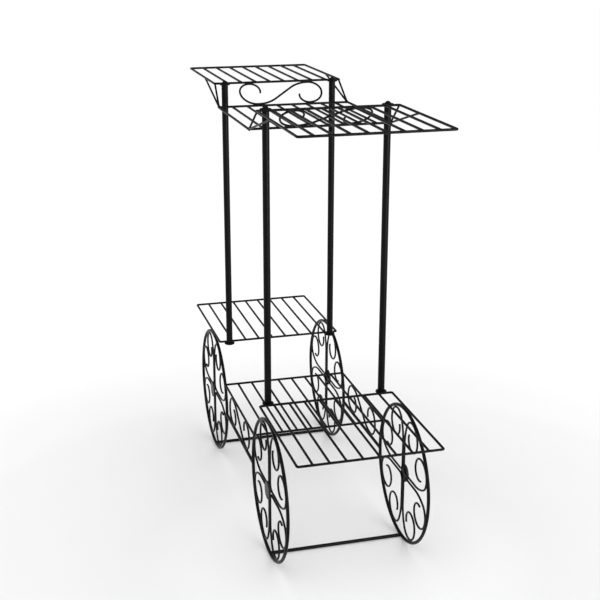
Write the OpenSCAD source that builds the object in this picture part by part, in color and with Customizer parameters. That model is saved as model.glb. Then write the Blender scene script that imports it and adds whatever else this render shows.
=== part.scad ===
// Flower cart stand: wire shelves on two levels, four posts and four fixed scrollwork wheels.
// Sizes in mm. +X right, +Y rear, +Z up. The origin is on the floor under the middle of the cart.

/* [Wheels] */
// Radius of each wheel rim, to the middle of its bar
rim_radius = 130.2; // [110:0.1:150]
// Thickness of the round bar of the rims, the cross bars and the lower side rails
rim_bar = 6.2; // [4:0.1:8]
// Distance between the centres of a front and a rear wheel
wheel_spacing = 502.2; // [440:0.1:560]
// Diameter of the disc over each wheel's middle
hub_disc_d = 34; // [28:0.5:44]
// Thickness of that disc
hub_disc_t = 3.7; // [2:0.1:6]
// Rounding of the disc's outer edge
hub_disc_edge = 1; // [0.2:0.1:1.5]

/* [Wheel scrollwork] */
// Thickness of the round bar of the wheel scrolls
wheel_scroll_bar = 3.9; // [2.5:0.1:5]
// Distance from a wheel's centre lines to the middle of the scroll arms beside them
arm_offset = 4.2; // [3:0.1:7]
// Inner bend of each scroll beside the hub, to the middle of its bar
hub_bend_radius = 12; // [8:0.5:16]

/* [Shelves] */
// Width of the cart between the middles of its side rails
cart_width = 258.6; // [230:0.1:300]
// Thickness of the wire that frames each shelf
frame_wire = 4.5; // [3:0.1:6]
// Thickness of the wire of the slats
slat_wire = 4.4; // [3:0.1:5.5]
// Number of slats in each shelf
slat_count = 8; // [5:1:11]
// Distance from a side rail to the first slat
slat_margin = 27; // [18:0.5:34]
// Inner bend of the shelf corners, to the middle of the wire
corner_radius = 3.5; // [3.2:0.1:6]
// Distance between the inner rails of the front and the rear shelves
inner_rail_spacing = 359.4; // [330:0.1:400]
// Length of a front or rear shelf between its rails
end_shelf_length = 261.4; // [220:0.1:320]
// Drop of the lower middle shelf below the lower front and rear shelves
lower_drop = 79.2; // [65:0.1:90]
// How far the lower middle shelf's end rails lie inside the rims at that height
lower_nest = 2.5; // [2:0.1:4]
// Height from the lower to the upper front and rear shelves
deck_height = 545.2; // [400:0.1:700]
// Drop of the upper middle shelf below the upper front and rear shelves
upper_drop = 39.3; // [25:0.1:60]
// Length of the upper middle shelf between its rails
upper_middle_length = 261.4; // [230:0.1:300]
// How much farther out each side rail of the upper middle shelf lies than the other side rails
upper_middle_flare = 3; // [0:0.1:6]

/* [Posts] */
// Outer diameter of the post tubes
post_d = 13; // [10:0.1:16]
// Wall of the post tubes
post_wall = 1.2; // [0.8:0.1:2]
// Distance between the middles of the left and right posts
post_spacing = 222; // [180:0.5:230]
// Distance from a post's middle to the inner rail that it is fixed to
post_to_rail = 10.8; // [10.2:0.1:14]
// How far each tube reaches past the middle of the rails above and below
post_overrun = 2; // [1:0.1:4]
// Thickness of the wire of the collar round each post end
collar_wire = 4.2; // [3:0.1:4.4]
// Diameter of the rounded plugs in the post ends
plug_d = 11; // [10.5:0.1:12.5]
// Height of the plug heads on top of the posts
plug_top_h = 4.5; // [2:0.1:8]
// Height of the plug heads under the posts
plug_bottom_h = 2.6; // [1.5:0.1:5]
// How deep the plugs sit in the tubes
plug_depth = 12; // [5:0.5:25]

/* [Side and end scrollwork] */
// Drop of the lower side rails below the lower middle shelf
side_rail_drop = 63.2; // [54:0.1:72]
// Thickness of the round bar of the scrolls over the lower side rails
side_scroll_bar = 3.9; // [2.5:0.1:5]
// Thickness of the round bar of the scrolls under the upper shelves
end_scroll_bar = 4; // [2.5:0.1:5]
// How far the scrolls under the upper shelves stand to the right of the cart's middle
end_scroll_shift = 5.2; // [0:0.1:12]
// Thickness of the wire of the upper braces
brace_wire = 3.8; // [2.5:0.1:4]
// Distance along the side rail from a shelf's inner corner to the foot of its long brace
brace_reach = 96; // [70:0.5:130]

/* [Hidden] */
// Smoothness of round forms
$fn = 96;
// Gap left at a seat, so that two bars touch without sharing material
seat = 0.05;
// Overrun of cuts past the face that they open
overrun = 1;
// How far each piece of a bent bar starts inside the one before it, and how much thinner it is
lap = 0.1;
lap_step = 0.02;

// Places that follow from the sizes above
side_x = cart_width / 2;
wheel_y = wheel_spacing / 2;
wheel_z = rim_radius + rim_bar / 2;
inner_y = inner_rail_spacing / 2;
outer_y = inner_y + end_shelf_length;
lower_z = wheel_z + rim_radius + rim_bar / 2 + seat + frame_wire / 2;
upper_z = lower_z + deck_height;
lower_middle_z = lower_z - lower_drop;
upper_middle_z = upper_z - upper_drop;
lower_middle_y = wheel_y - rim_reach(lower_middle_z) - lower_nest;
upper_middle_y = upper_middle_length / 2;
upper_middle_x = side_x + upper_middle_flare;
post_x = post_spacing / 2;
post_y = inner_y - post_to_rail;
side_rail_z = lower_middle_z - side_rail_drop;
side_rail_y = wheel_y - rim_reach(side_rail_z);

// Wheel scrolls: radii as shares of the rim radius, angles in degrees
arm_bend_share = 0.2;
loop_share = 0.23;
back_share = 0.192;
curl_share = 0.146;
arm_bend_angle = 30;
loop_angle = 23.4;
curl_angle = 115;
loop_radius = loop_share * rim_radius;
// Distance from the hub to the middle of a loop that touches the rim
loop_reach = rim_radius - rim_bar / 2 - seat - wheel_scroll_bar / 2 - loop_radius;
second_radius = arm_bend_share * rim_radius;
loop_side = loop_reach * sin(loop_angle);
first_radius = (loop_side - arm_offset - second_radius * cos(arm_bend_angle)) / (1 - cos(arm_bend_angle));
arm_end = loop_reach * cos(loop_angle) + loop_radius - first_radius * sin(arm_bend_angle)
    - second_radius * (1 - sin(arm_bend_angle));
hub_bend = arm_offset + hub_bend_radius;
arm_steps = [
    [0, arm_end - hub_bend],
    [first_radius, arm_bend_angle],
    [second_radius, 90 - arm_bend_angle],
    [loop_radius, 90],
    [back_share * rim_radius, 90],
    [curl_share * rim_radius, curl_angle]
];

// S scrolls: how much steeper their middle is than the straight line between their two turns
steep_share = 1.47;
// Reach of the two turns from the scroll's middle, as a share of half the rail that it fits on
side_reach_share = 0.5;
end_reach_share = 0.4355;
// First loop, flat run and inner curl of each end, as shares of the scroll's height
side_rear_share = [0.513, 0.19, 0.32];
side_front_share = [0.495, 0, 0.34];
end_right_share = [0.433, 0, 0.317];
end_left_share = [0.58, 0, 0.35];
side_rear_curl = 172;
side_front_curl = 113;
end_curl = 107;

// Half the width of a rim, to the middle of its bar, at a height above the floor
function rim_reach(z) = sqrt(rim_radius * rim_radius - (z - wheel_z) * (z - wheel_z));

// Slope of an S scroll's middle, the radius of its turns and the length of its straight run
function s_slope(h, reach) = steep_share * atan(h / (2 * reach));
function s_radius(h, reach, a) = (reach * sin(a) - h / 2 * cos(a)) / (1 - cos(a));
function s_run(reach, r, a) = (reach - r * sin(a)) / cos(a);

// Turns and flat run of one end of an S scroll, from its straight middle to the tip of its curl
function s_steps(h, reach, share, curl) =
    let (a = s_slope(h, reach))
    [
        [s_radius(h, reach, a), a],
        [share[0] * h, 90],
        [(1 - share[0]) * h, 90],
        [0, share[1] * h],
        [share[2] * h, curl]
    ];

// Straight round bar from one point to another
module bar(d, from, to) {
    v = to - from;
    flat = norm([v[0], v[1]]);
    translate(from)
        rotate([0, atan2(flat, v[2]), atan2(v[1], v[0])])
            cylinder(d = d, h = norm(v));
}

// Angle that the lap takes up on a bend
function lap_angle(r) = lap / r * 180 / PI;

// Part of a ring in the XY plane that runs from the origin along +X and turns left, with a lap before it
module turn(d, r, angle) {
    back = lap_angle(r);
    translate([0, r, 0])
        rotate([0, 0, -90 - back])
            rotate_extrude(angle = angle + back)
                translate([r, 0])
                    circle(d = d);
}

// Round bar bent in the XY plane: each step is a straight run [0, length] or a left turn [radius, angle]
module bent_bar(bar_d, steps, i = 0) {
    if (i < len(steps)) {
        r = steps[i][0];
        amount = steps[i][1];
        d = bar_d - (i + 1) * lap_step;
        if (r == 0) {
            if (amount > 0) {
                bar(d, [-lap, 0, 0], [amount, 0, 0]);
            }
            translate([amount, 0, 0])
                bent_bar(bar_d, steps, i + 1);
        } else {
            turn(d, r, amount);
            translate([r * sin(amount), r * (1 - cos(amount)), 0])
                rotate([0, 0, amount])
                    bent_bar(bar_d, steps, i + 1);
        }
    }
}

// One end of an S scroll, from its straight middle
module s_end(d, h, reach, share, curl) {
    a = s_slope(h, reach);
    rotate([0, 0, a])
        translate([s_run(reach, s_radius(h, reach, a), a), 0, 0])
            mirror([0, 1, 0])
                bent_bar(d, s_steps(h, reach, share, curl));
}

// S scroll in the XY plane, rising to the right between y = -h / 2 and y = h / 2
module s_scroll(d, h, reach, right_share, right_curl, left_share, left_curl) {
    a = s_slope(h, reach);
    run = s_run(reach, s_radius(h, reach, a), a);
    rotate([0, 0, a])
        bar(d, [-run, 0, 0], [run, 0, 0]);
    s_end(d, h, reach, right_share, right_curl);
    rotate([0, 0, 180])
        s_end(d, h, reach, left_share, left_curl);
}

// Moves what is drawn round the origin in the YZ plane to the middle of a wheel
module at_wheel(sx, sy) {
    translate([sx * side_x, sy * wheel_y, wheel_z])
        children();
}

// Ring of one wheel, also used to fit other pieces to it with a clearance
module rim_ring(sx, sy, clearance = 0) {
    at_wheel(sx, sy)
        rotate([0, 90, 0])
            rotate_extrude()
                translate([rim_radius, 0])
                    circle(d = rim_bar + 2 * clearance);
}

module rim(sx, sy) {
    color("#1c1c1c")
        rim_ring(sx, sy);
}

// One C scroll in the XY plane: two arms that meet in a bend beside the hub
module c_scroll() {
    translate([hub_bend, arm_offset, 0])
        bent_bar(wheel_scroll_bar, arm_steps);
    mirror([1, -1, 0])
        translate([hub_bend, arm_offset, 0])
            bent_bar(wheel_scroll_bar, arm_steps);
    translate([hub_bend, hub_bend, 0])
        rotate([0, 0, 180])
            rotate_extrude(angle = 90)
                translate([hub_bend_radius, 0])
                    circle(d = wheel_scroll_bar);
}

// The four C scrolls of one wheel
module wheel_scrolls(sx, sy) {
    color("#222222")
        at_wheel(sx, sy)
            rotate([90, 0, 90])
                for (quarter = [0 : 3])
                    rotate([0, 0, 90 * quarter])
                        c_scroll();
}

// Disc on the outer side of the scroll bends of one wheel
module hub_disc(sx, sy) {
    r = hub_disc_d / 2;
    color("#3a3a3a")
        at_wheel(sx, sy)
            rotate([0, 90 * sx, 0])
                translate([0, 0, wheel_scroll_bar / 2 + seat])
                    rotate_extrude() {
                        square([r - hub_disc_edge, hub_disc_t]);
                        square([r, hub_disc_t - hub_disc_edge]);
                        translate([r - hub_disc_edge, hub_disc_t - hub_disc_edge])
                            circle(r = hub_disc_edge);
                    }
}

// Bar on the floor between the lowest points of a left and a right rim
module cross_bar(sy) {
    z = wheel_z - rim_radius;
    color("#1c1c1c")
        difference() {
            bar(rim_bar, [-side_x, sy * wheel_y, z], [side_x, sy * wheel_y, z]);
            rim_ring(-1, sy, seat);
            rim_ring(1, sy, seat);
        }
}

// Bar between the front and rear rims of one side
module side_rail(sx) {
    color("#1c1c1c")
        difference() {
            bar(rim_bar, [sx * side_x, -side_rail_y, side_rail_z], [sx * side_x, side_rail_y, side_rail_z]);
            rim_ring(sx, -1, seat);
            rim_ring(sx, 1, seat);
        }
}

// Scroll between a lower side rail and the side rail of the lower middle shelf
module side_scroll(sx) {
    bottom = side_rail_z + rim_bar / 2 + seat + side_scroll_bar / 2;
    top = lower_middle_z - frame_wire / 2 - seat - side_scroll_bar / 2;
    color("#242424")
        translate([sx * side_x, 0, (bottom + top) / 2])
            rotate([90, 0, 90])
                s_scroll(side_scroll_bar, top - bottom, side_reach_share * side_rail_y,
                    side_rear_share, side_rear_curl, side_front_share, side_front_curl);
}

// Bent corner of a shelf frame in the first quarter, lapped into the rails at both ends
module corner(wire) {
    back = lap_angle(corner_radius);
    rotate([0, 0, -back])
        rotate_extrude(angle = 90 + 2 * back)
            translate([corner_radius, 0])
                circle(d = wire - lap_step);
}

// Wire frame of a shelf: x is half its width, y0 and y1 its ends, also used to fit pieces to it
module frame_ring(x, y0, y1, z, clearance = 0) {
    wire = frame_wire + 2 * clearance;
    y = (y1 - y0) / 2;
    x_in = x - corner_radius;
    y_in = y - corner_radius;
    translate([0, (y0 + y1) / 2, z]) {
        for (s = [-1, 1]) {
            bar(wire, [s * x, -y_in, 0], [s * x, y_in, 0]);
            bar(wire, [-x_in, s * y, 0], [x_in, s * y, 0]);
        }
        translate([x_in, y_in, 0])
            corner(wire);
        translate([-x_in, y_in, 0])
            rotate([0, 0, 90])
                corner(wire);
        translate([-x_in, -y_in, 0])
            rotate([0, 0, 180])
                corner(wire);
        translate([x_in, -y_in, 0])
            rotate([0, 0, 270])
                corner(wire);
    }
}

// Slats of a shelf, cut to the round of its two end rails
module slats(x, y0, y1, z) {
    pitch = (2 * x - 2 * slat_margin) / (slat_count - 1);
    reach = frame_wire / 2 + seat;
    color("#2a2a2a")
        for (i = [0 : slat_count - 1]) {
            slat_x = slat_margin - x + i * pitch;
            difference() {
                bar(slat_wire, [slat_x, y0, z], [slat_x, y1, z]);
                for (y = [y0, y1])
                    bar(2 * reach, [slat_x - slat_wire, y, z], [slat_x + slat_wire, y, z]);
            }
        }
}

module shelf_frame(x, y0, y1, z) {
    color("#1e1e1e")
        frame_ring(x, y0, y1, z);
}

// The lower middle frame's corners are hollowed to lie against the four rims
module lower_middle_frame() {
    color("#1e1e1e")
        difference() {
            frame_ring(side_x, -lower_middle_y, lower_middle_y, lower_middle_z);
            for (sx = [-1, 1])
                for (sy = [-1, 1])
                    rim_ring(sx, sy, seat);
        }
}

// Tube between the lower and the upper collar of one corner
module post(sx, sy) {
    bottom = lower_z - post_overrun;
    color("#202020")
        translate([sx * post_x, sy * post_y, bottom])
            difference() {
                cylinder(d = post_d, h = deck_height + 2 * post_overrun);
                translate([0, 0, -overrun])
                    cylinder(d = post_d - 2 * post_wall, h = deck_height + 2 * (post_overrun + overrun));
            }
}

// Wire rings round the four posts, cut to the round of the rails that they are fixed to
module collars(z) {
    r = post_d / 2 + seat + collar_wire / 2;
    color("#262626")
        for (sx = [-1, 1])
            for (sy = [-1, 1])
                difference() {
                    translate([sx * post_x, sy * post_y, z])
                        rotate_extrude()
                            translate([r, 0])
                                circle(d = collar_wire);
                    bar(frame_wire + 2 * seat, [-side_x, sy * inner_y, z], [side_x, sy * inner_y, z]);
                }
}

// Plug with a stem in the tube and a domed head, drawn with the head up
module plug(head_h) {
    r = plug_d / 2;
    dome = (r * r + head_h * head_h) / (2 * head_h);
    translate([0, 0, -plug_depth])
        cylinder(d = post_d - 2 * post_wall - 2 * seat, h = plug_depth + seat);
    intersection() {
        translate([0, 0, seat])
            cylinder(r = r + overrun, h = head_h + overrun);
        translate([0, 0, seat + head_h - dome])
            sphere(r = dome);
    }
}

module post_plugs_lower() {
    color("#181818")
        for (sx = [-1, 1])
            for (sy = [-1, 1])
                translate([sx * post_x, sy * post_y, lower_z - post_overrun])
                    rotate([180, 0, 0])
                        plug(plug_bottom_h);
}

module post_plugs_upper() {
    color("#181818")
        for (sx = [-1, 1])
            for (sy = [-1, 1])
                translate([sx * post_x, sy * post_y, upper_z + post_overrun])
                    plug(plug_top_h);
}

// Frames that the upper braces end on
module upper_frames(sy, clearance) {
    near = sy > 0 ? inner_y : -outer_y;
    frame_ring(upper_middle_x, -upper_middle_y, upper_middle_y, upper_middle_z, clearance);
    frame_ring(side_x, near, near + end_shelf_length, upper_z, clearance);
}

// Short and long brace from a corner of the upper middle shelf to the front or rear shelf
module braces(sx, sy) {
    corner = corner_radius * (1 - cos(45));
    from = [sx * (upper_middle_x - corner), sy * (upper_middle_y - corner), upper_middle_z];
    short_to = [sx * (side_x - corner), sy * (inner_y + corner), upper_z];
    long_to = [sx * side_x, sy * (inner_y + brace_reach), upper_z];
    color("#242424")
        difference() {
            bar(brace_wire, from, long_to);
            upper_frames(sy, seat);
        }
    color("#242424")
        difference() {
            bar(brace_wire, from, short_to);
            bar(brace_wire + 2 * seat, from, long_to);
            upper_frames(sy, seat);
        }
}

// Scroll in the slope between the upper middle shelf and the front or rear shelf
module end_scroll(sy) {
    rise = upper_z - upper_middle_z;
    run = inner_y - upper_middle_y;
    h = norm([run, rise]) - frame_wire - 2 * seat - end_scroll_bar;
    color("#242424")
        mirror([0, sy < 0 ? 1 : 0, 0])
            translate([end_scroll_shift, (inner_y + upper_middle_y) / 2, (upper_z + upper_middle_z) / 2])
                rotate([atan2(rise, run), 0, 0])
                    s_scroll(end_scroll_bar, h, end_reach_share * side_x,
                        end_right_share, end_curl, end_left_share, end_curl);
}

rim(-1, -1);  // rim_front_left
rim(1, -1);  // rim_front_right
rim(-1, 1);  // rim_rear_left
rim(1, 1);  // rim_rear_right
wheel_scrolls(-1, -1);  // wheel_scrolls_front_left
wheel_scrolls(1, -1);  // wheel_scrolls_front_right
wheel_scrolls(-1, 1);  // wheel_scrolls_rear_left
wheel_scrolls(1, 1);  // wheel_scrolls_rear_right
hub_disc(-1, -1);  // hub_disc_front_left
hub_disc(1, -1);  // hub_disc_front_right
hub_disc(-1, 1);  // hub_disc_rear_left
hub_disc(1, 1);  // hub_disc_rear_right
cross_bar(-1);  // cross_bar_front
cross_bar(1);  // cross_bar_rear
side_rail(-1);  // side_rail_left
side_rail(1);  // side_rail_right
side_scroll(-1);  // side_scroll_left
side_scroll(1);  // side_scroll_right
shelf_frame(side_x, -outer_y, -inner_y, lower_z);  // lower_front_frame
slats(side_x, -outer_y, -inner_y, lower_z);  // lower_front_slats
lower_middle_frame();
slats(side_x, -lower_middle_y, lower_middle_y, lower_middle_z);  // lower_middle_slats
shelf_frame(side_x, inner_y, outer_y, lower_z);  // lower_rear_frame
slats(side_x, inner_y, outer_y, lower_z);  // lower_rear_slats
shelf_frame(side_x, -outer_y, -inner_y, upper_z);  // upper_front_frame
slats(side_x, -outer_y, -inner_y, upper_z);  // upper_front_slats
shelf_frame(upper_middle_x, -upper_middle_y, upper_middle_y, upper_middle_z);  // upper_middle_frame
slats(upper_middle_x, -upper_middle_y, upper_middle_y, upper_middle_z);  // upper_middle_slats
shelf_frame(side_x, inner_y, outer_y, upper_z);  // upper_rear_frame
slats(side_x, inner_y, outer_y, upper_z);  // upper_rear_slats
post(-1, -1);  // post_front_left
post(1, -1);  // post_front_right
post(-1, 1);  // post_rear_left
post(1, 1);  // post_rear_right
collars(lower_z);  // collars_lower
collars(upper_z);  // collars_upper
post_plugs_lower();
post_plugs_upper();
braces(-1, -1);  // braces_front_left
braces(1, -1);  // braces_front_right
braces(-1, 1);  // braces_rear_left
braces(1, 1);  // braces_rear_right
end_scroll(-1);  // end_scroll_front
end_scroll(1);  // end_scroll_rear
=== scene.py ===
import math

import bmesh
import bpy
from mathutils import Matrix, Vector


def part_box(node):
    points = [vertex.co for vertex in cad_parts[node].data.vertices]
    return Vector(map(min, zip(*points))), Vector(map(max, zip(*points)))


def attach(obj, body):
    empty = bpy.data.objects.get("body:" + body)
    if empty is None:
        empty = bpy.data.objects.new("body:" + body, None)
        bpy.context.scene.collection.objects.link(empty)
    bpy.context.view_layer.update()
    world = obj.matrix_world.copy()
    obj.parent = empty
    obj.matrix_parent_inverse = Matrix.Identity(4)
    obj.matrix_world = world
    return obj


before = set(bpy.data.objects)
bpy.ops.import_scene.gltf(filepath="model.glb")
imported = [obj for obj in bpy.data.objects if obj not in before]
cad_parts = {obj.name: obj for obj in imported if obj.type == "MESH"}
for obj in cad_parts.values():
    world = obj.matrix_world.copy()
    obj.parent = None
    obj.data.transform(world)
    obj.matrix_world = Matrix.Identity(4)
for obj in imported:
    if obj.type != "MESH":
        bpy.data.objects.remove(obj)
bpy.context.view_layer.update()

bl_info = {
    "name": "Flower Cart Stand",
    "version": (1, 0, 0),
    "blender": (4, 5, 0),
    "location": "View3D > Sidebar > Flower Cart",
    "description": "Dresses the wire flower cart stand with its coat, welds, floor and light",
    "category": "Object",
}

FRONT_REAR = ("front", "rear")
LEFT_RIGHT = ("left", "right")
DECKS = ("lower", "upper")
SHELVES = [f"{deck}_{place}" for deck in DECKS for place in ("front", "middle", "rear")]
CORNERS = [f"{end}_{side}" for end in FRONT_REAR for side in LEFT_RIGHT]
SLAT_COUNT = 8
# Angle in degrees between a wheel's centre line and the place where a scroll touches the rim
LOOP_ANGLE = 23.4

# Coat: scale and detail of its patches, the parts of their range that the tone and the roughness
# run over, and the detail of its ripple
PATCH_SCALE = 38
PATCH_DETAIL = 5
PATCH_TONES = (0.35, 0.78)
PATCH_ROUGHNESS = (0.3, 0.7)
RIPPLE_DETAIL = 2

# Distance within which points of a solid are taken as one
MERGE_DISTANCE = 1e-6
# Depth of a scroll's surface that counts as touching a rail, and least distance between two touches
TOUCH_DEPTH = 0.00004
TOUCH_APART = 0.02
# Depth of the part of a brace's end that its weld sits on
BRACE_END = 0.0015
# Radius of the plain ring that a ring-shaped weld is bent from, when its tube has a radius of 1
RING_RADIUS = 2

# Saddle weld: how far its skin lies over the bars, its number of sides, the largest share of the
# rail's radius that it reaches round, how hollow its face is, how deep it goes into the rail, and
# where it ends inside the bar, as shares of the bar's radius and of the weld's width
SADDLE_SKIN = 0.00003
SADDLE_SIDES = 12
SADDLE_REACH = 0.98
SADDLE_HOLLOW = 0.35
SADDLE_RAIL_ROOT = 0.85
SADDLE_BAR_ROOT = 0.7
SADDLE_BAR_RISE = 0.8

# Bead: segments round it and along it, and its ripples
BEAD_SEGMENTS = 10
BEAD_RINGS = 9
BEAD_RIPPLES = 3

# Sizes of the heavier welds, as multiples of the fillet, the bead or the collar's wire
RIM_FILLET = 1.2
RIM_BEAD_LENGTH = 1.3
RIM_BEAD_WIDTH = 1.2
COLLAR_BEAD_LENGTH = 1.2
COLLAR_BEAD_WIDTH = 1.1
COLLAR_BEAD_DEPTH = 0.7
BRACE_BLOB_LENGTH = 3

# Floor: radius, sides, and its tones as share of the reach and share of the way from the near to
# the far brightness. The tones are painted shade: darker round the cart, darkest in a ring where a
# broad faint shadow falls, and white far away
FLOOR_RADIUS = 60
FLOOR_SIDES = 96
FLOOR_PAINTED_SHADE = (
    (0, 0.22), (0.14, 0.3), (0.22, 0.04), (0.32, 0.1),
    (0.41, 0.17), (0.47, 0.32), (0.72, 0.78), (1, 1),
)

# Camera: tilt, roll and heading in degrees, width of its sensor in millimetres, and nearest and
# farthest distance that it sees
CAMERA_TILT = 71.9828
CAMERA_ROLL = -0.0477
CAMERA_HEADING = -15.4574
SENSOR_WIDTH = 36
NEAREST = 0.05
FARTHEST = 200

# Strength of the white backdrop behind the floor
BACKDROP = 1
# Lamps: the point that they face, and the name, place, width and height of each
LAMP_TARGET = (0, 0, 0.4)
LAMPS = (
    ("key", (-1.6, -1.4, 2.4), 1.8, 1.8),
    ("fill", (1.9, -0.4, 2.0), 1.6, 1.6),
    ("stripe", (1.25, -2.5, 0.9), 0.5, 1.8),
)


class CartFinish(bpy.types.PropertyGroup):
    coat_colour: bpy.props.FloatVectorProperty(
        name="Coat colour", description="Colour of the powder coat on every bar and wire",
        subtype="COLOR", size=3, min=0, max=1, default=(0.0028, 0.0028, 0.0029))
    coat_dust: bpy.props.FloatVectorProperty(
        name="Coat dust", description="Slightly paler colour of the thin patches in the coat",
        subtype="COLOR", size=3, min=0, max=1, default=(0.0048, 0.0048, 0.0050))
    coat_roughness: bpy.props.FloatProperty(
        name="Coat roughness", description="Roughness of the coat where it is smoothest",
        subtype="FACTOR", min=0.05, max=1, default=0.3)
    coat_roughness_spread: bpy.props.FloatProperty(
        name="Roughness spread", description="How much rougher the coat is where it is roughest",
        subtype="FACTOR", min=0, max=0.6, default=0.12)
    coat_sheen: bpy.props.FloatProperty(
        name="Coat sheen", description="Strength of the reflections in the coat",
        subtype="FACTOR", min=0, max=1, default=0.08)
    coat_grain: bpy.props.FloatProperty(
        name="Coat grain", description="Size of the fine ripples in the coat",
        unit="LENGTH", min=0.0002, max=0.01, default=0.0013)
    coat_grain_depth: bpy.props.FloatProperty(
        name="Grain depth", description="Height of the fine ripples in the coat",
        unit="LENGTH", min=0, max=0.001, default=0.00006)
    # Painted light: the discs have the coat's own black, painted paler for the light that their flat faces
    # catch
    disc_painted_light_colour: bpy.props.FloatVectorProperty(
        name="Disc colour", description="Colour of the coat on the flat discs over the wheel middles",
        subtype="COLOR", size=3, min=0, max=1, default=(0.022, 0.022, 0.0224))
    plug_colour: bpy.props.FloatVectorProperty(
        name="Plug colour", description="Colour of the moulded plugs in the post ends",
        subtype="COLOR", size=3, min=0, max=1, default=(0.0045, 0.0045, 0.0047))
    plug_roughness: bpy.props.FloatProperty(
        name="Plug roughness", description="Roughness of the moulded plugs",
        subtype="FACTOR", min=0.05, max=1, default=0.5)


class CartWelds(bpy.types.PropertyGroup):
    fillet: bpy.props.FloatProperty(
        name="Fillet", description="Width of the weld round the end of a bar on a rail",
        unit="LENGTH", min=0.0002, max=0.004, default=0.0011)
    bead_length: bpy.props.FloatProperty(
        name="Bead length", description="Length of the weld where two bars touch side by side",
        unit="LENGTH", min=0.001, max=0.02, default=0.0075)
    bead_width: bpy.props.FloatProperty(
        name="Bead width", description="Width of the weld where two bars touch side by side",
        unit="LENGTH", min=0.0005, max=0.008, default=0.0026)
    bead_depth: bpy.props.FloatProperty(
        name="Bead depth", description="How far the weld reaches into both bars that touch side by side",
        unit="LENGTH", min=0.0005, max=0.008, default=0.0022)
    brace_swell: bpy.props.FloatProperty(
        name="Brace swell", description="Thickness of the welds at the ends of the braces",
        unit="LENGTH", min=0.003, max=0.01, default=0.0048)
    bead_swell: bpy.props.FloatProperty(
        name="Bead swell", description="How much the ripples of a side weld swell",
        subtype="FACTOR", min=0, max=0.5, default=0.12)


class CartStage(bpy.types.PropertyGroup):
    camera_place: bpy.props.FloatVectorProperty(
        name="Camera place", description="Where the camera stands",
        subtype="TRANSLATION", unit="LENGTH", size=3, default=(-0.58855, -2.11652, 1.12259))
    camera_turn: bpy.props.FloatVectorProperty(
        name="Camera turn", description="Tilt, roll and heading of the camera",
        subtype="EULER", unit="ROTATION", size=3,
        default=(math.radians(CAMERA_TILT), math.radians(CAMERA_ROLL), math.radians(CAMERA_HEADING)))
    lens: bpy.props.FloatProperty(
        name="Lens", description="Focal length on a 36 mm sensor, in millimetres",
        min=20, max=200, default=70.05)
    # The floor's brightness is painted shade: darker round the cart, darkest in a ring for a broad faint
    # shadow, rising to the far brightness
    floor_painted_shade_middle: bpy.props.FloatVectorProperty(
        name="Floor middle", description="Point on the floor from which its brightness spreads",
        subtype="TRANSLATION", unit="LENGTH", size=3, default=(0, -0.3, 0))
    floor_painted_shade_near: bpy.props.FloatProperty(
        name="Floor near", description="Brightness of the floor round the cart, where it is darkest",
        subtype="FACTOR", min=0, max=1, default=0.82)
    floor_far: bpy.props.FloatProperty(
        name="Floor far", description="Brightness of the floor far behind the cart",
        subtype="FACTOR", min=0, max=1, default=1.0)
    floor_painted_shade_reach: bpy.props.FloatProperty(
        name="Floor reach", description="Distance at which the floor has reached its far brightness",
        unit="LENGTH", min=0.5, max=20, default=1.8)
    sky: bpy.props.FloatProperty(
        name="Sky", description="Strength of the even light from all round",
        min=0, max=2, default=1.0)
    reflected: bpy.props.FloatProperty(
        name="Reflected", description="Brightness of the studio in the coat's reflections",
        min=0, max=2, default=0.3)
    key: bpy.props.FloatProperty(
        name="Key", description="Power of the large soft lamp over the front left, in watts",
        min=0, max=500, default=13)
    stripe: bpy.props.FloatProperty(
        name="Stripe",
        description="Power of the tall lamp that only shows as a stripe on the posts, in watts",
        min=0, max=500, default=80)
    fill: bpy.props.FloatProperty(
        name="Fill", description="Power of the large soft lamp over the right, in watts",
        min=0, max=500, default=7)


def cad(name):
    """The CAD node of that name."""
    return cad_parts[name]


def middle(name):
    """Middle of a CAD node's box."""
    low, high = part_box(name)
    return (low + high) / 2


def dress(names, material):
    """Gives CAD nodes a material in place of their plain one."""
    for name in names:
        node = cad(name)
        node.data.materials.clear()
        node.data.materials.append(material)


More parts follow.
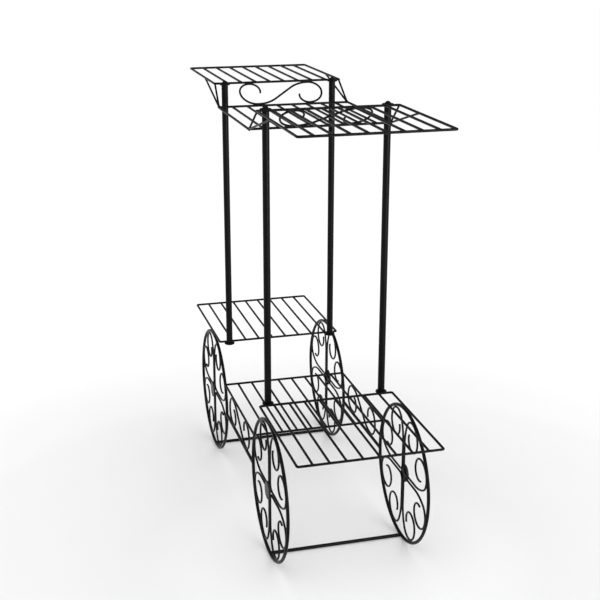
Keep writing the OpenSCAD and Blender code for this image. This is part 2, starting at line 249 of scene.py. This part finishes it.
def coat_material(finish, name, colour, dust, roughness):
    """Powder coat: a dark colour with faint pale patches and a fine ripple."""
    material = bpy.data.materials.get(name)
    if material:
        return material
    material = bpy.data.materials.new(name)
    material.use_nodes = True
    nodes = material.node_tree.nodes
    links = material.node_tree.links
    shader = nodes["Principled BSDF"]
    shader.inputs["Specular IOR Level"].default_value = finish.coat_sheen
    place = nodes.new("ShaderNodeTexCoord")

    patches = nodes.new("ShaderNodeTexNoise")
    patches.inputs["Scale"].default_value = PATCH_SCALE
    patches.inputs["Detail"].default_value = PATCH_DETAIL
    links.new(place.outputs["Object"], patches.inputs["Vector"])
    tone = nodes.new("ShaderNodeValToRGB")
    for element, position, shade in zip(tone.color_ramp.elements, PATCH_TONES, (colour, dust)):
        element.position = position
        element.color = (*shade, 1)
    links.new(patches.outputs["Fac"], tone.inputs["Fac"])
    links.new(tone.outputs["Color"], shader.inputs["Base Color"])

    rough = nodes.new("ShaderNodeMapRange")
    rough.inputs["From Min"].default_value, rough.inputs["From Max"].default_value = PATCH_ROUGHNESS
    rough.inputs["To Min"].default_value = roughness
    rough.inputs["To Max"].default_value = roughness + finish.coat_roughness_spread
    links.new(patches.outputs["Fac"], rough.inputs["Value"])
    links.new(rough.outputs["Result"], shader.inputs["Roughness"])

    ripple = nodes.new("ShaderNodeTexNoise")
    ripple.inputs["Scale"].default_value = 1 / finish.coat_grain
    ripple.inputs["Detail"].default_value = RIPPLE_DETAIL
    links.new(place.outputs["Object"], ripple.inputs["Vector"])
    bump = nodes.new("ShaderNodeBump")
    bump.inputs["Strength"].default_value = 1
    bump.inputs["Distance"].default_value = finish.coat_grain_depth
    links.new(ripple.outputs["Fac"], bump.inputs["Height"])
    links.new(bump.outputs["Normal"], shader.inputs["Normal"])
    return material


def coat(scene):
    """The powder coat of the bars and wires."""
    finish = scene.cart_finish
    return coat_material(finish, "black_coat", finish.coat_colour, finish.coat_dust, finish.coat_roughness)


def disc_coat(scene):
    """The same coat on the flat discs, painted paler for the light that their flat faces catch."""
    finish = scene.cart_finish
    return coat_material(finish, "disc_coat", finish.disc_painted_light_colour, finish.disc_painted_light_colour, finish.coat_roughness)


def plug_plastic(scene):
    """Black moulded plastic of the post plugs."""
    finish = scene.cart_finish
    return coat_material(finish, "plug_plastic", finish.plug_colour, finish.coat_dust, finish.plug_roughness)


def new_piece(name, bm, material):
    """Closes a mesh as a smooth piece that rides on the cart."""
    bmesh.ops.recalc_face_normals(bm, faces=bm.faces)
    mesh = bpy.data.meshes.new(name)
    bm.to_mesh(mesh)
    bm.free()
    mesh.shade_smooth()
    mesh.materials.append(material)
    piece = bpy.data.objects.new(name, mesh)
    bpy.context.scene.collection.objects.link(piece)
    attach(piece, "root")
    return piece


def axes(at, along, across):
    """Matrix that puts local Z along a direction and local X near another, at a point."""
    z = Vector(along).normalized()
    x = Vector(across)
    x = (x - z * x.dot(z)).normalized()
    y = z.cross(x)
    turn = Matrix((x, y, z)).transposed().to_4x4()
    return Matrix.Translation(Vector(at)) @ turn


def add_copy(bm, template, matrix):
    """Adds a copy of a small mesh to a bmesh, moved by a matrix."""
    start = len(bm.verts)
    bm.from_mesh(template)
    bm.verts.ensure_lookup_table()
    bmesh.ops.transform(bm, matrix=matrix, verts=bm.verts[start:])


def ring_mesh(name, rings):
    """Closed ring-shaped mesh whose skin passes through closed loops of points, one loop after the other."""
    tube, sides = len(rings), len(rings[0])
    bm = bmesh.new()
    turns = [2 * math.pi * k / tube for k in range(tube)]
    seam = [bm.verts.new((RING_RADIUS + math.cos(turn), 0, math.sin(turn))) for turn in turns]
    edges = [bm.edges.new((one, other)) for one, other in zip(seam, seam[1:] + seam[:1])]
    bmesh.ops.spin(bm, geom=seam + edges, cent=(0, 0, 0), axis=(0, 0, 1), dvec=(0, 0, 0),
                   angle=2 * math.pi, steps=sides, use_merge=True)
    for vert in bm.verts:
        i = round(math.atan2(vert.co.y, vert.co.x) / (2 * math.pi) * sides) % sides
        out = math.hypot(vert.co.x, vert.co.y) - RING_RADIUS
        k = round(math.atan2(vert.co.z, out) / (2 * math.pi) * tube) % tube
        vert.co = rings[k][i]
    bmesh.ops.recalc_face_normals(bm, faces=bm.faces)
    mesh = bpy.data.meshes.new(name)
    bm.to_mesh(mesh)
    bm.free()
    return mesh


def saddle_weld(bar_radius, rail_radius, width):
    """Weld round the end of a bar on the side of a round rail, with the rail's middle at the origin.

    Local Z points out along the bar and local X runs along the rail.
    """
    bar = bar_radius + SADDLE_SKIN
    rail = rail_radius + SADDLE_SKIN
    core = bar_radius * SADDLE_BAR_ROOT
    rings = [[], [], [], [], []]
    for i in range(SADDLE_SIDES):
        turn = 2 * math.pi * i / SADDLE_SIDES
        along, across = math.cos(turn), math.sin(turn)
        root = math.asin(min(bar_radius / rail_radius, SADDLE_REACH) * across)
        over = root + width / rail_radius * across
        top = rail_radius * math.cos(root)
        head = Vector((bar * along, bar * across, top + width))
        foot = Vector(((bar_radius + width) * along, rail * math.sin(over), rail * math.cos(over)))
        crotch = Vector((bar_radius * along, bar_radius * across, top))
        rings[0].append(head)
        rings[1].append(((foot + head) / 2).lerp(crotch, SADDLE_HOLLOW))
        rings[2].append(foot)
        rings[3].append(foot * SADDLE_RAIL_ROOT)
        rings[4].append(Vector((core * along, core * across, top + width * SADDLE_BAR_RISE)))
    return ring_mesh("saddle_weld", rings)


def bead_weld(length, width, depth, swell):
    """Rippled bead where two bars touch side by side.

    Local Z runs along the bars, local X from one to the other, and Y out of the crotch between them.
    """
    bm = bmesh.new()
    bmesh.ops.create_uvsphere(bm, u_segments=BEAD_SEGMENTS, v_segments=BEAD_RINGS, radius=1)
    for vert in bm.verts:
        ripple = 1 + swell * math.cos(BEAD_RIPPLES * math.pi * vert.co.z)
        vert.co.x *= ripple
        vert.co.y *= ripple
    bmesh.ops.scale(bm, vec=(depth / 2, width / 2, length / 2), verts=bm.verts)
    mesh = bpy.data.meshes.new("bead_weld")
    bm.to_mesh(mesh)
    bm.free()
    return mesh


def islands(name):
    """Points of each separate solid in a CAD node."""
    bm = bmesh.new()
    bm.from_mesh(cad(name).data)
    bmesh.ops.remove_doubles(bm, verts=bm.verts, dist=MERGE_DISTANCE)
    seen = set()
    found = []
    for start in bm.verts:
        if start in seen:
            continue
        seen.add(start)
        front = [start]
        points = []
        while front:
            vert = front.pop()
            points.append(vert.co.copy())
            for edge in vert.link_edges:
                other = edge.other_vert(vert)
                if other not in seen:
                    seen.add(other)
                    front.append(other)
        found.append(points)
    bm.free()
    return found


def farthest(points, direction, depth):
    """Points that reach farthest in a direction, down to a depth."""
    far = max(point.dot(direction) for point in points)
    return [point for point in points if point.dot(direction) > far - depth]


def average(points):
    """Middle of some points."""
    return sum(points, Vector()) / len(points)


def touches(points, direction, way):
    """Middles of the places where points reach farthest in a direction, one for each group along a way."""
    near = sorted(farthest(points, direction, TOUCH_DEPTH), key=way.dot)
    groups = [[near[0]]]
    for point in near[1:]:
        if (point - groups[-1][-1]).dot(way) > TOUCH_APART:
            groups.append([])
        groups[-1].append(point)
    return [average(group) for group in groups]


def wheel_facts():
    """Radius of a rim to the middle of its bar, the bar's radius and the height of the wheel's middle."""
    low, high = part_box("rim_front_left")
    bar_radius = (high.x - low.x) / 2
    return (high.z - low.z) / 2 - bar_radius, bar_radius, (low.z + high.z) / 2


class CART_OT_coat_base(bpy.types.Operator):
    """Coat the rims, cross bars and lower side rails"""
    bl_idname = "cart.coat_base"
    bl_label = "Coat Rims and Base Bars"

    def execute(self, context):
        names = [f"rim_{corner}" for corner in CORNERS]
        names += [f"cross_bar_{end}" for end in FRONT_REAR]
        names += [f"side_rail_{side}" for side in LEFT_RIGHT]
        dress(names, coat(context.scene))
        return {"FINISHED"}


class CART_OT_coat_scrolls(bpy.types.Operator):
    """Coat the wheel scrolls, side scrolls and end scrolls"""
    bl_idname = "cart.coat_scrolls"
    bl_label = "Coat Scrollwork"

    def execute(self, context):
        names = [f"wheel_scrolls_{corner}" for corner in CORNERS]
        names += [f"side_scroll_{side}" for side in LEFT_RIGHT]
        names += [f"end_scroll_{end}" for end in FRONT_REAR]
        dress(names, coat(context.scene))
        return {"FINISHED"}


class CART_OT_coat_discs(bpy.types.Operator):
    """Coat the flat discs over the middles of the wheels"""
    bl_idname = "cart.coat_discs"
    bl_label = "Coat Wheel Discs"

    def execute(self, context):
        # The discs get the coat with painted light, paler than on the rims
        dress([f"hub_disc_{corner}" for corner in CORNERS], disc_coat(context.scene))
        return {"FINISHED"}


class CART_OT_coat_shelves(bpy.types.Operator):
    """Coat the shelf frames, their slats and the upper braces"""
    bl_idname = "cart.coat_shelves"
    bl_label = "Coat Shelves"

    def execute(self, context):
        names = [f"{shelf}_{kind}" for shelf in SHELVES for kind in ("frame", "slats")]
        names += [f"braces_{corner}" for corner in CORNERS]
        dress(names, coat(context.scene))
        return {"FINISHED"}


class CART_OT_coat_posts(bpy.types.Operator):
    """Coat the post tubes and their collars, and colour the plugs"""
    bl_idname = "cart.coat_posts"
    bl_label = "Coat Posts"

    def execute(self, context):
        names = [f"post_{corner}" for corner in CORNERS]
        names += [f"collars_{deck}" for deck in DECKS]
        dress(names, coat(context.scene))
        dress([f"post_plugs_{deck}" for deck in DECKS], plug_plastic(context.scene))
        return {"FINISHED"}


class CART_OT_weld_slats(bpy.types.Operator):
    """Weld both ends of every slat to the end rails of its shelf"""
    bl_idname = "cart.weld_slats"
    bl_label = "Weld Slats"

    def execute(self, context):
        welds = context.scene.cart_welds
        bm = bmesh.new()
        for shelf in SHELVES:
            slats_low, slats_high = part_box(f"{shelf}_slats")
            frame_low, frame_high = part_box(f"{shelf}_frame")
            slat_radius = (slats_high.z - slats_low.z) / 2
            rail_radius = (frame_high.z - frame_low.z) / 2
            z = (frame_low.z + frame_high.z) / 2
            first = slats_low.x + slat_radius
            last = slats_high.x - slat_radius
            template = saddle_weld(slat_radius, rail_radius, welds.fillet)
            for i in range(SLAT_COUNT):
                x = first + (last - first) * i / (SLAT_COUNT - 1)
                add_copy(bm, template, axes((x, frame_low.y + rail_radius, z), (0, 1, 0), (1, 0, 0)))
                add_copy(bm, template, axes((x, frame_high.y - rail_radius, z), (0, -1, 0), (1, 0, 0)))
        new_piece("slat_welds", bm, coat(context.scene))
        return {"FINISHED"}


class CART_OT_weld_base(bpy.types.Operator):
    """Weld the cross bars and side rails to the rims, and the shelves on top of them"""
    bl_idname = "cart.weld_base"
    bl_label = "Weld Base"

    def execute(self, context):
        welds = context.scene.cart_welds
        rim_radius, bar_radius, hub_z = wheel_facts()
        end_weld = saddle_weld(bar_radius, bar_radius, welds.fillet * RIM_FILLET)
        bead = bead_weld(welds.bead_length * RIM_BEAD_LENGTH, welds.bead_width * RIM_BEAD_WIDTH,
                         welds.bead_depth, welds.bead_swell)
        bm = bmesh.new()
        for corner in CORNERS:
            hub = middle(f"rim_{corner}")
            inward_x = -math.copysign(1, hub.x)
            inward_y = -math.copysign(1, hub.y)
            # Cross bar on the inner side of the rim's lowest point
            add_copy(bm, end_weld, axes((hub.x, hub.y, hub_z - rim_radius), (inward_x, 0, 0), (0, 1, 0)))
            # Side rail on the part of the rim nearest the middle of the cart
            rail_z = middle("side_rail_left").z
            rim_y = math.sqrt(rim_radius ** 2 - (rail_z - hub_z) ** 2)
            rim_way = (0, (rail_z - hub_z) / rim_radius, rim_y / rim_radius)
            add_copy(bm, end_weld, axes((hub.x, hub.y + inward_y * rim_y, rail_z), (0, inward_y, 0), rim_way))
            # Shelf rail on the rim's highest point
            add_copy(bm, bead, axes((hub.x, hub.y, hub_z + rim_radius + bar_radius), (0, 1, 0), (0, 0, 1)))
        new_piece("base_welds", bm, coat(context.scene))
        return {"FINISHED"}


class CART_OT_weld_wheels(bpy.types.Operator):
    """Weld the loops of the wheel scrolls to the rims"""
    bl_idname = "cart.weld_wheels"
    bl_label = "Weld Wheels"

    def execute(self, context):
        welds = context.scene.cart_welds
        rim_radius, bar_radius, hub_z = wheel_facts()
        bead = bead_weld(welds.bead_length, welds.bead_width, welds.bead_depth, welds.bead_swell)
        bm = bmesh.new()
        for corner in CORNERS:
            hub = middle(f"rim_{corner}")
            for quarter in range(4):
                for tilt in (-LOOP_ANGLE, LOOP_ANGLE):
                    angle = math.radians(90 * quarter + tilt)
                    out = Vector((0, math.cos(angle), math.sin(angle)))
                    way = Vector((0, -math.sin(angle), math.cos(angle)))
                    add_copy(bm, bead, axes(hub + out * (rim_radius - bar_radius), way, out))
        new_piece("wheel_welds", bm, coat(context.scene))
        return {"FINISHED"}


class CART_OT_weld_scrolls(bpy.types.Operator):
    """Weld the side scrolls and end scrolls to the rails that they touch"""
    bl_idname = "cart.weld_scrolls"
    bl_label = "Weld Scrollwork"

    def execute(self, context):
        welds = context.scene.cart_welds
        bead = bead_weld(welds.bead_length, welds.bead_width, welds.bead_depth, welds.bead_swell)
        bm = bmesh.new()
        jobs = [(f"side_scroll_{side}", Vector((0, 0, 1)), Vector((0, 1, 0))) for side in LEFT_RIGHT]
        middle_low, middle_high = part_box("upper_middle_frame")
        for end in FRONT_REAR:
            shelf_low, shelf_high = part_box(f"upper_{end}_frame")
            wire = shelf_high.z - shelf_low.z
            if end == "front":
                run = shelf_high.y - middle_low.y - wire
            else:
                run = shelf_low.y - middle_high.y + wire
            rise = Vector((0, run, shelf_low.z - middle_low.z)).normalized()
            jobs.append((f"end_scroll_{end}", rise, Vector((1, 0, 0))))
        for name, up, way in jobs:
            points = [point for solid in islands(name) for point in solid]
            for out in (up, -up):
                for place in touches(points, out, way):
                    add_copy(bm, bead, axes(place, way, out))
        new_piece("scroll_welds", bm, coat(context.scene))
        return {"FINISHED"}


class CART_OT_weld_posts(bpy.types.Operator):
    """Weld the post collars to the inner rails of the front and rear shelves"""
    bl_idname = "cart.weld_posts"
    bl_label = "Weld Posts"

    def execute(self, context):
        welds = context.scene.cart_welds
        bm = bmesh.new()
        for deck in DECKS:
            collar_low, collar_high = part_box(f"collars_{deck}")
            wire = collar_high.z - collar_low.z
            z = (collar_low.z + collar_high.z) / 2
            puddle = bead_weld(welds.bead_length * COLLAR_BEAD_LENGTH, wire * COLLAR_BEAD_WIDTH,
                               wire * COLLAR_BEAD_DEPTH, welds.bead_swell)
            for end in FRONT_REAR:
                frame_low, frame_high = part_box(f"{deck}_{end}_frame")
                face_y = frame_high.y if end == "front" else frame_low.y
                for side in LEFT_RIGHT:
                    x = middle(f"post_{end}_{side}").x
                    add_copy(bm, puddle, axes((x, face_y, z), (1, 0, 0), (0, 1, 0)))
        new_piece("collar_welds", bm, coat(context.scene))
        return {"FINISHED"}


class CART_OT_weld_braces(bpy.types.Operator):
    """Weld both ends of the upper braces"""
    bl_idname = "cart.weld_braces"
    bl_label = "Weld Braces"

    def execute(self, context):
        welds = context.scene.cart_welds
        blob = bead_weld(welds.fillet * BRACE_BLOB_LENGTH, welds.brace_swell, welds.brace_swell, 0)
        up = Vector((0, 0, 1))
        bm = bmesh.new()
        for corner in CORNERS:
            for points in islands(f"braces_{corner}"):
                foot = average(farthest(points, -up, BRACE_END))
                head = average(farthest(points, up, BRACE_END))
                for place in (foot, head):
                    add_copy(bm, blob, axes(place, head - foot, (1, 0, 0)))
        new_piece("brace_welds", bm, coat(context.scene))
        return {"FINISHED"}


class CART_OT_set_stage(bpy.types.Operator):
    """Make the floor, the light and the camera"""
    bl_idname = "cart.set_stage"
    bl_label = "Set Stage"

    def execute(self, context):
        stage = context.scene.cart_stage
        self.make_floor(stage)
        self.make_light(context.scene, stage)
        data = bpy.data.cameras.new("camera")
        data.lens = stage.lens
        data.sensor_width = SENSOR_WIDTH
        data.clip_start = NEAREST
        data.clip_end = FARTHEST
        camera = bpy.data.objects.new("camera", data)
        camera.location = stage.camera_place
        camera.rotation_euler = stage.camera_turn
        context.scene.collection.objects.link(camera)
        context.scene.camera = camera
        context.scene.view_settings.view_transform = "Standard"
        return {"FINISHED"}

    def make_floor(self, stage):
        bm = bmesh.new()
        bmesh.ops.create_circle(bm, cap_ends=True, segments=FLOOR_SIDES, radius=FLOOR_RADIUS)
        mesh = bpy.data.meshes.new("floor")
        bm.to_mesh(mesh)
        bm.free()
        floor = bpy.data.objects.new("floor", mesh)
        bpy.context.scene.collection.objects.link(floor)
        material = bpy.data.materials.new("studio_floor")
        material.use_nodes = True
        nodes = material.node_tree.nodes
        links = material.node_tree.links
        nodes.clear()
        out = nodes.new("ShaderNodeOutputMaterial")
        matt = nodes.new("ShaderNodeBsdfDiffuse")
        place = nodes.new("ShaderNodeTexCoord")
        distance = nodes.new("ShaderNodeVectorMath")
        distance.operation = "DISTANCE"
        distance.inputs[1].default_value = stage.floor_painted_shade_middle
        links.new(place.outputs["Object"], distance.inputs[0])
        share = nodes.new("ShaderNodeMapRange")
        share.inputs["From Min"].default_value = 0
        share.inputs["From Max"].default_value = stage.floor_painted_shade_reach
        links.new(distance.outputs["Value"], share.inputs["Value"])
        # Painted shade: the ramp darkens the floor round the cart, and most in a ring where a broad faint
        # shadow falls
        tone = nodes.new("ShaderNodeValToRGB")
        ramp = tone.color_ramp
        ramp.interpolation = "EASE"
        while len(ramp.elements) < len(FLOOR_PAINTED_SHADE):
            ramp.elements.new(1)
        for element, (position, lightness) in zip(ramp.elements, FLOOR_PAINTED_SHADE):
            value = stage.floor_painted_shade_near + (stage.floor_far - stage.floor_painted_shade_near) * lightness
            element.position = position
            element.color = (value, value, value, 1)
        links.new(share.outputs["Result"], tone.inputs["Fac"])
        links.new(tone.outputs["Color"], matt.inputs["Color"])
        links.new(matt.outputs["BSDF"], out.inputs["Surface"])
        mesh.materials.append(material)

    def make_light(self, scene, stage):
        world = bpy.data.worlds.new("studio")
        world.use_nodes = True
        nodes = world.node_tree.nodes
        links = world.node_tree.links
        nodes.clear()
        path = nodes.new("ShaderNodeLightPath")
        shader = self.white_light(nodes, stage.sky)
        for ray, strength in (("Is Camera Ray", BACKDROP), ("Is Glossy Ray", stage.reflected)):
            mix = nodes.new("ShaderNodeMixShader")
            links.new(path.outputs[ray], mix.inputs["Fac"])
            links.new(shader, mix.inputs[1])
            links.new(self.white_light(nodes, strength), mix.inputs[2])
            shader = mix.outputs["Shader"]
        out = nodes.new("ShaderNodeOutputWorld")
        links.new(shader, out.inputs["Surface"])
        scene.world = world

        target = Vector(LAMP_TARGET)
        for name, place, width, height in LAMPS:
            data = bpy.data.lights.new(name, "AREA")
            data.shape = "RECTANGLE"
            data.size = width
            data.size_y = height
            data.energy = getattr(stage, name)
            lamp = bpy.data.objects.new(name, data)
            lamp.location = place
            lamp.rotation_euler = (target - Vector(place)).to_track_quat("-Z", "Y").to_euler()
            # The stripe shows in the coat's reflections and doesn't light the floor
            lamp.visible_diffuse = name != "stripe"
            scene.collection.objects.link(lamp)

    def white_light(self, nodes, strength):
        light = nodes.new("ShaderNodeBackground")
        light.inputs["Color"].default_value = (1, 1, 1, 1)
        light.inputs["Strength"].default_value = strength
        return light.outputs["Background"]


class CART_PT_panel(bpy.types.Panel):
    bl_label = "Flower Cart"
    bl_idname = "CART_PT_panel"
    bl_space_type = "VIEW_3D"
    bl_region_type = "UI"
    bl_category = "Flower Cart"

    def draw(self, context):
        layout = self.layout
        for heading, group, operators in PANEL_ROWS:
            box = layout.box()
            box.label(text=heading)
            values = getattr(context.scene, group)
            for name in type(values).__annotations__:
                box.prop(values, name)
            for operator in operators:
                box.operator(operator.bl_idname)


COAT_OPERATORS = (CART_OT_coat_base, CART_OT_coat_scrolls, CART_OT_coat_discs, CART_OT_coat_shelves,
                  CART_OT_coat_posts)
WELD_OPERATORS = (CART_OT_weld_slats, CART_OT_weld_base, CART_OT_weld_wheels, CART_OT_weld_scrolls,
                  CART_OT_weld_posts, CART_OT_weld_braces)
PANEL_ROWS = (
    ("Coat", "cart_finish", COAT_OPERATORS),
    ("Welds", "cart_welds", WELD_OPERATORS),
    ("Stage", "cart_stage", (CART_OT_set_stage,)),
)
CLASSES = (
    CartFinish, CartWelds, CartStage, *COAT_OPERATORS, *WELD_OPERATORS, CART_OT_set_stage, CART_PT_panel,
)


def register():
    for cls in CLASSES:
        bpy.utils.register_class(cls)
    bpy.types.Scene.cart_finish = bpy.props.PointerProperty(type=CartFinish)
    bpy.types.Scene.cart_welds = bpy.props.PointerProperty(type=CartWelds)
    bpy.types.Scene.cart_stage = bpy.props.PointerProperty(type=CartStage)


def unregister():
    del bpy.types.Scene.cart_stage
    del bpy.types.Scene.cart_welds
    del bpy.types.Scene.cart_finish
    for cls in reversed(CLASSES):
        bpy.utils.unregister_class(cls)


def main():
    register()
    bpy.ops.cart.coat_base()
    bpy.ops.cart.coat_scrolls()
    bpy.ops.cart.coat_discs()
    bpy.ops.cart.coat_shelves()
    bpy.ops.cart.coat_posts()
    bpy.ops.cart.weld_slats()
    bpy.ops.cart.weld_base()
    bpy.ops.cart.weld_wheels()
    bpy.ops.cart.weld_scrolls()
    bpy.ops.cart.weld_posts()
    bpy.ops.cart.weld_braces()
    bpy.ops.cart.set_stage()


if __name__ == "__main__":
    main()
